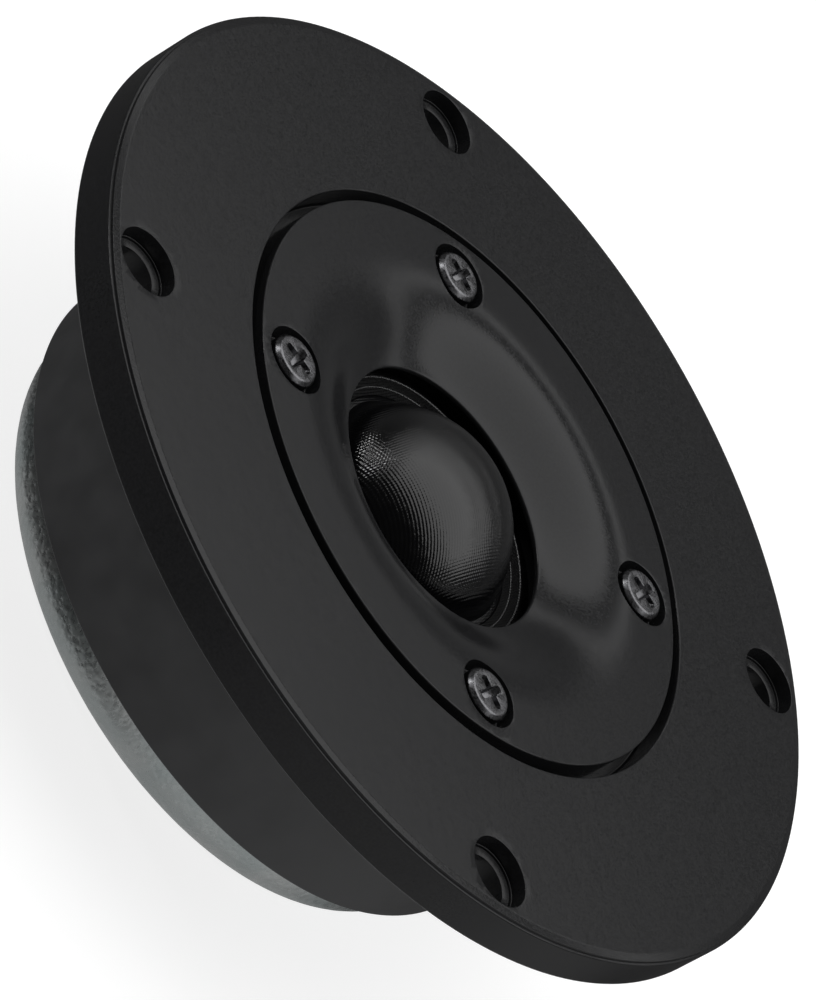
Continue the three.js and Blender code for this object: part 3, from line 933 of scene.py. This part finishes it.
def make_yoke():
    """Back plate with a bullnose edge and hammered skin, and the pole in one piece with it."""
    centre = YOKE_RADIUS - YOKE_ROUND
    nose = arc_points(centre, YOKE_ROUND, YOKE_ROUND, -math.pi / 2, 0, 24)
    rear = [(centre * i / 12, 0) for i in range(12)]
    side = [(YOKE_RADIUS, 4.4), (YOKE_RADIUS - 0.08, 5.2), (YOKE_RADIUS - 0.35, 6.0),
            (YOKE_RADIUS - 0.9, MOTOR_BOTTOM)]
    pole_top = top("pole_yoke")
    pole = rounded([
        (POLE_RADIUS + 1, MOTOR_BOTTOM),
        (POLE_RADIUS, MOTOR_BOTTOM),
        (POLE_RADIUS, pole_top, 0.3),
        (0, pole_top),
    ], closed=False)
    body = lathe("back_plate_and_pole", rear + nose + side + pole, YOKE_TURN)
    for vertex in body.data.vertices:
        radius = math.hypot(vertex.co.x, vertex.co.y) / MM
        if radius > POLE_RADIUS + 2 and 0 < vertex.co.z / MM < MOTOR_BOTTOM - 0.01:
            dent = noise.noise(vertex.co / (DENT_SIZE * MM)) * 0.5 + 0.5
            vertex.co.xy *= 1 - DENT_DEPTH * dent / radius
    place(softened(body, 50), "zinc", "zinc_steel", "pole_yoke")


def make_ring(name, node, look, slot, inner, edge, body="frame"):
    low, high, outer = bottom(node), top(node), reach(node)
    ring = lathe(name, rounded([
        (inner, low, edge), (outer, low, edge), (outer, high, edge), (inner, high, edge),
    ], steps=3), RING_TURN)
    place(softened(ring), look, slot, node, body=body)


def make_motor_rings():
    make_ring("front_washer", "top_plate", "steel", "plate_steel", TOP_PLATE_HOLE, 0.12)
    make_ring("ring_magnet", "ferrite_magnet", "ferrite", "ferrite", MAGNET_HOLE, 0.4)
    make_ring("coil_former", "voice_coil_former", "foil", "former_aluminium", FORMER_HOLE,
              0.04, "diaphragm")
    make_ring("coil_winding", "voice_coil_winding", "copper", "winding_copper", WINDING_HOLE,
              0.1, "diaphragm")


def make_carrier():
    outer = reach("carrier_ring")
    ring = lathe("diaphragm_carrier", rounded([
        (CARRIER_HOLE, GAP_TOP, 0.1), (outer, GAP_TOP, 0.1),
        (outer, CLOTH_BOTTOM, 0.05), (CARRIER_HOLE, CLOTH_BOTTOM, 0.1),
    ], steps=3))
    cut(ring, lead_channels(*CARRIER_NOTCH, CARRIER_HOLE - 4, outer + OVERCUT))
    place(softened(ring), "carrier", "carrier_plastic", "carrier_ring")


def make_damper():
    """A felt pad, rough on top."""
    low, high = bottom("pole_damper"), top("pole_damper")
    radius = reach("pole_damper")
    rings = [(radius * i / FELT_RINGS, high) for i in range(FELT_RINGS - 1, 0, -1)]
    body = lathe("felt_pad", rounded([
        (0, low), (radius, low, 0.1), (radius, high, 0.5), *rings, (0, high),
    ], closed=False), FELT_TURN)
    for vertex in body.data.vertices:
        if vertex.co.z / MM > high - 0.2:
            share = noise.noise(vertex.co / (FELT_SIZE * MM)) * 0.5 + 0.5
            vertex.co.z -= share * FELT_DEPTH * MM
    place(softened(body, 60), "felt", "felt", "pole_damper")


# ---------------------------------------------------------------- terminals


RIVET_X = middle("terminal_positive").x
BOARD_BOTTOM = bottom("terminal_board")
BOARD_CORNER = 1.2
TAB_THICKNESS = 0.8
TAB_BEND = 0.9
RIVET_HOLE = 1.2
SOLDER_HOLE = 0.8
SOLDER_HOLE_HEIGHT = 1.9


def plate(name, outline, low, high):
    """A flat plate with that outline of (x, y) corners, in millimetres."""
    mesh = bmesh.new()
    under = [mesh.verts.new(Vector((x, y, low)) * MM) for x, y in outline]
    over = [mesh.verts.new(Vector((x, y, high)) * MM) for x, y in outline]
    mesh.faces.new(list(reversed(under)))
    mesh.faces.new(over)
    for i in range(len(outline)):
        ahead = (i + 1) % len(outline)
        mesh.faces.new([under[i], under[ahead], over[ahead], over[i]])
    return as_object(mesh, name)


def make_board():
    low, high = box_mm("terminal_board")
    corners = ((low.x, low.y), (high.x, low.y), (high.x, high.y), (low.x, high.y))
    outline = rounded([(x, y, BOARD_CORNER) for x, y in corners], steps=6)
    board = plate("terminal_board_laminate", outline, low.z, high.z)
    rivets = [(-RIVET_X, BOARD.y, 0), (RIVET_X, BOARD.y, 0)]
    drilled(board, RIVET_HOLE, low.z - OVERCUT, high.z + OVERCUT, rivets)
    drilled(board, BOARD_SCREW_HOLE, low.z - OVERCUT, high.z + OVERCUT, [(0, BOARD.y, 0)])
    bevelled(board, 0.12)
    place(softened(board), "board", "board_brown", "terminal_board")


def make_tab(name, node):
    """An angled lug: foot under the board, bend, and a blade to the rear with a solder hole."""
    low, high = box_mm(node)
    inner = TAB_THICKNESS
    path = rounded([
        (low.y, high.z - inner), (high.y - inner, high.z - inner, TAB_BEND - 0.6),
        (high.y - inner, low.z), (high.y, low.z), (high.y, high.z, TAB_BEND), (low.y, high.z),
    ], steps=6)
    mesh = bmesh.new()
    sides = [[mesh.verts.new(Vector((x, y, z)) * MM) for y, z in path] for x in (low.x, high.x)]
    mesh.faces.new(sides[0])
    mesh.faces.new(list(reversed(sides[1])))
    for i in range(len(path)):
        ahead = (i + 1) % len(path)
        mesh.faces.new([sides[0][i], sides[1][i], sides[1][ahead], sides[0][ahead]])
    bmesh.ops.recalc_face_normals(mesh, faces=mesh.faces)
    tab = as_object(mesh, name)
    centre = (low.x + high.x) / 2
    drilled(tab, RIVET_HOLE, high.z - 3, high.z + OVERCUT, [(centre, BOARD.y, 0)])
    solder_hole = round_cutters([(0, -3), (SOLDER_HOLE, -3), (SOLDER_HOLE, 3), (0, 3)],
                                [(0, 0, 0)], DRILL_TURN)
    tilt = Matrix.Rotation(math.radians(90), 4, "X")
    hole_centre = Vector((centre, high.y, low.z + SOLDER_HOLE_HEIGHT)) * MM
    solder_hole.data.transform(Matrix.Translation(hole_centre) @ tilt)
    cut(tab, solder_hole)
    bevelled(tab, 0.14, 50)
    place(softened(tab), "tab", "tab_tinned", node)


def make_rivet(name, node):
    """A tubular rivet with its rolled rim on the lug."""
    low, high = bottom(node), top(node)
    head = low + 0.6
    body = lathe(name, rounded([
        (0, low + 0.35), (0.55, low + 0.35, 0.15), (0.75, low + 0.05, 0.2), (1.1, low, 0.25),
        (1.6, low + 0.25, 0.2), (1.6, head, 0.05), (0.9, head), (0.9, high), (0, high),
    ], closed=False), SMALL_TURN)
    move(body, middle(node))
    place(softened(body, 60), "brass", "rivet_brass", node)


def make_board_screw():
    node = "terminal_board_screw"
    low, high = bottom(node), top(node)
    body = lathe("board_screw", rounded([
        (0, low), (1.2, low + 0.06, 0.8), (2.3, low + 0.55, 0.4), (2.3, BOARD_BOTTOM, 0.1),
        (1.1, BOARD_BOTTOM), (1.1, high), (0, high),
    ], closed=False, steps=6), SMALL_TURN)
    cutter = cross_cutter(0.9, 0, 20)
    upside_down = Matrix.Diagonal((0.75, 0.75, -1, 1))
    cutter.data.transform(Matrix.Translation((0, 0, (low + 0.03) * MM)) @ upside_down)
    cutter.data.flip_normals()
    cut(body, cutter)
    move(body, middle(node))
    bevelled(body, 0.04, 45)
    place(softened(body, 50), "screw", "screw_black", node)


LEAD_RADIUS = 0.25
LEAD_Z = GAP_TOP + 0.35
LEAD_FOOT_Z = BOARD_BOTTOM - TAB_THICKNESS - LEAD_RADIUS - 0.05
LEAD_END_Y = 41.0
LEAD_PATH = (
    (LEAD_SLOT_X, 14.8, LEAD_Z), (LEAD_SLOT_X, 22, LEAD_Z), (LEAD_SLOT_X, 30, LEAD_Z),
    (LEAD_SLOT_X, 35.6, LEAD_Z), (LEAD_SLOT_X + 1, 38.2, LEAD_FOOT_Z - 0.25),
    (RIVET_X - 0.9, 40.6, LEAD_FOOT_Z), (RIVET_X - 0.2, LEAD_END_Y, LEAD_FOOT_Z),
)
SOLDER_LENGTH = 0.95
SOLDER_WIDTH = 0.62


def make_lead(name, node, side):
    """A lead runs out through its slot, then dips to the foot of its lug."""
    data = bpy.data.curves.new(name, "CURVE")
    data.dimensions = "3D"
    data.bevel_depth = LEAD_RADIUS * MM
    data.bevel_resolution = 4
    data.use_fill_caps = True
    spline = data.splines.new("BEZIER")
    spline.bezier_points.add(len(LEAD_PATH) - 1)
    for knot, point in zip(spline.bezier_points, LEAD_PATH):
        knot.co = Vector((side * point[0], point[1], point[2])) * MM
        knot.handle_left_type = knot.handle_right_type = "AUTO"
    curve = bpy.data.objects.new(name, data)
    bpy.context.scene.collection.objects.link(curve)
    depsgraph = bpy.context.evaluated_depsgraph_get()
    mesh = bpy.data.meshes.new_from_object(curve.evaluated_get(depsgraph))
    bpy.data.objects.remove(curve)
    lead = bpy.data.objects.new(name, mesh)
    bpy.context.scene.collection.objects.link(lead)
    mesh.shade_smooth()
    place(lead, "lead", "lead_insulation", node)


def make_solder(name, side):
    """The blob that joins a lead to the foot of its lug."""
    mesh = bmesh.new()
    bmesh.ops.create_icosphere(mesh, subdivisions=4, radius=1)
    centre = Vector((side * (RIVET_X - 0.35), LEAD_END_Y, BOARD_BOTTOM - TAB_THICKNESS))
    for vertex in mesh.verts:
        lump = 1 + 0.12 * noise.noise(vertex.co * 2.2)
        vertex.co.x *= SOLDER_LENGTH * lump
        vertex.co.y *= SOLDER_WIDTH * lump
        vertex.co.z = min(vertex.co.z * SOLDER_WIDTH * lump, 0)
        vertex.co = (centre + vertex.co) * MM
    blob = as_object(mesh, name)
    blob.data.shade_smooth()
    place(blob, "solder", "tab_tinned")


# ---------------------------------------------------------------- studio


# Radiance of the room: (towards the camera's side, away from it), the glow of the floor round the
# horizon (least, most, and which way it is brightest) and that of the floor straight below.
ROOM_FRONT_BACK = (0.03, 0.12)
FLOOR_GLOW = (0.04, 0.45)
FLOOR_GLOW_TOWARDS = (0.9, -0.44, 0)
FLOOR_UNDER = 0.36

FLOOR_SIZE = 20
FLOOR_GAP = 0.02

# Each softbox: its name, place and size in metres, radiance, and the point that it is aimed at.
# Places are from the middle of the flange's face.
SOFTBOXES = (
    ("overhead softbox", (0.27, 0.21, 1.0), (2.9, 1.26), 2.0, (0.27, 0.21, 0)),
    ("rear softbox", (0.1, 1.22, 0.87), (2.4, 0.13), 1.6, (0, 0, 0)),
    ("side lamp", (-0.9014, -0.0947, 0.4226), (0.12, 0.12), 26, (0, 0, 0)),
    ("low front softbox", (0.35, -1.0, 0.1), (1.6, 0.2), 0.6, (0, 0, 0)),
)


def smooth_share(nodes, links, source, start, end):
    """0 up to start, 1 from end on, and smooth between."""
    node = nodes.new("ShaderNodeMapRange")
    node.interpolation_type = "SMOOTHSTEP"
    links.new(source, node.inputs["Value"])
    node.inputs["From Min"].default_value = start
    node.inputs["From Max"].default_value = end
    return node.outputs[0]


def mixed(nodes, links, share, low, high):
    """low where share is 0 and high where it is 1; each is a number or a node's output."""
    node = nodes.new("ShaderNodeMix")
    links.new(share, node.inputs["Factor"])
    for socket, value in ((node.inputs[2], low), (node.inputs[3], high)):
        if isinstance(value, bpy.types.NodeSocket):
            links.new(value, socket)
        else:
            socket.default_value = value
    return node.outputs[0]


def make_world():
    """A dim room, darker on the camera's side, with light coming up from the pale floor."""
    world = bpy.data.worlds.new("studio")
    world.use_nodes = True
    nodes, links = world.node_tree.nodes, world.node_tree.links
    direction = nodes.new("ShaderNodeTexCoord").outputs["Generated"]
    split = nodes.new("ShaderNodeSeparateXYZ")
    links.new(direction, split.inputs[0])
    towards = nodes.new("ShaderNodeVectorMath")
    towards.operation = "DOT_PRODUCT"
    links.new(direction, towards.inputs[0])
    towards.inputs[1].default_value = FLOOR_GLOW_TOWARDS
    back_share = smooth_share(nodes, links, split.outputs["Y"], -0.8, 0.8)
    above = mixed(nodes, links, back_share, *ROOM_FRONT_BACK)
    glow_share = smooth_share(nodes, links, towards.outputs["Value"], 0.1, 0.9)
    glow = mixed(nodes, links, glow_share, *FLOOR_GLOW)
    steep_share = smooth_share(nodes, links, split.outputs["Z"], -0.5, -0.75)
    below = mixed(nodes, links, steep_share, glow, FLOOR_UNDER)
    up_share = smooth_share(nodes, links, split.outputs["Z"], -0.06, 0.06)
    background = nodes["Background"]
    links.new(mixed(nodes, links, up_share, below, above), background.inputs["Strength"])
    background.inputs["Color"].default_value = (1, 1, 1, 1)
    bpy.context.scene.world = world


def make_floor():
    """The floor lies a hair under the back plate, so that the two don't coincide."""
    mesh = bmesh.new()
    bmesh.ops.create_grid(mesh, x_segments=1, y_segments=1, size=FLOOR_SIZE)
    floor = as_object(mesh, "floor")
    floor.data.materials.append(LOOKS["floor"])
    floor.visible_glossy = False
    floor.location.z = -FLOOR_GAP * MM


def make_softbox(name, offset, size, radiance, aim):
    """A rectangular soft light. Its power is what gives it that radiance."""
    data = bpy.data.lights.new(name, "AREA")
    data.shape = "RECTANGLE"
    data.size, data.size_y = size
    data.energy = radiance * size[0] * size[1] * math.pi
    light = bpy.data.objects.new(name, data)
    bpy.context.scene.collection.objects.link(light)
    light.location = Vector((0, 0, FACE * MM)) + Vector(offset)
    light.rotation_mode = "QUATERNION"
    light.rotation_quaternion = (Vector(aim) - Vector(offset)).to_track_quat("-Z", "Y")


def make_studio():
    make_floor()
    make_world()
    for softbox in SOFTBOXES:
        make_softbox(*softbox)
    bpy.context.scene.view_settings.view_transform = "Standard"


# ---------------------------------------------------------------- assembly


make_flange()
make_insert()
for number, centre in enumerate(INSERT_SCREWS, 1):
    make_screw(number, centre)
make_dome()
make_surround()
for bead in BEADS:
    make_bead(*bead)
make_motor_rings()
make_carrier()
make_damper()
make_sleeve()
make_yoke()
make_board()
make_tab("lug_positive", "terminal_positive")
make_tab("lug_negative", "terminal_negative")
make_rivet("rivet_positive", "terminal_rivet_positive")
make_rivet("rivet_negative", "terminal_rivet_negative")
make_board_screw()
make_lead("lead_wire_positive", "lead_positive", 1)
make_lead("lead_wire_negative", "lead_negative", -1)
make_solder("solder_positive", 1)
make_solder("solder_negative", -1)
make_studio()

bpy.context.view_layer.update()
